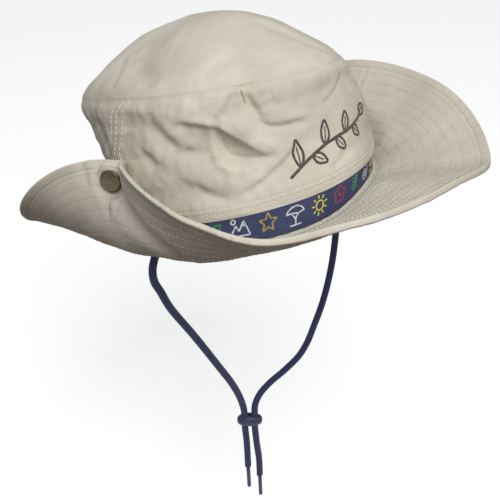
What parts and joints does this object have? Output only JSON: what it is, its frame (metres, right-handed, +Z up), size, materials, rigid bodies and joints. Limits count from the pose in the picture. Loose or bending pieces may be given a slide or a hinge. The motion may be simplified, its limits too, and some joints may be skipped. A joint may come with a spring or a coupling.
{
  "type": "safari hat",
  "caption": "Soft cotton safari hat with domed crown, printed band, wide stitched brim snapped up at one side, and a chin cord with slider.",
  "frame": {"origin": "centre of the head opening, in the plane where the brim joins the crown, which is where the hat sits on a head", "axes": "+Z up with the hat as worn, tipped back by 20 degrees; -Y is the wearer's front, +X the wearer's left"},
  "size_m": [0.2668, 0.3157, 0.4251],
  "materials": {
    "cloth": "washed stone-coloured cotton twill, matte",
    "band": null,
    "cord": "navy braided cotton cord",
    "slider": "navy moulded plastic, satin",
    "snap": "antique brass, brushed"
  },
  "bodies": {
    "root": {"crown_front_panel": "cloth", "crown_back_panel": "cloth", "crown_tip": "cloth", "hat_band": "band", "brim_front": "cloth", "brim_back": "cloth", "brim_hem": "cloth", "snap_cap": "snap", "snap_stud": "snap", "cord_tab_right": "cord", "cord_tab_left": "cord", "chin_cord_right": "cord", "chin_cord_left": "cord", "cord_slider": "slider", "cord_tip_right": "slider", "cord_tip_left": "slider"}
  },
  "joints": []
}
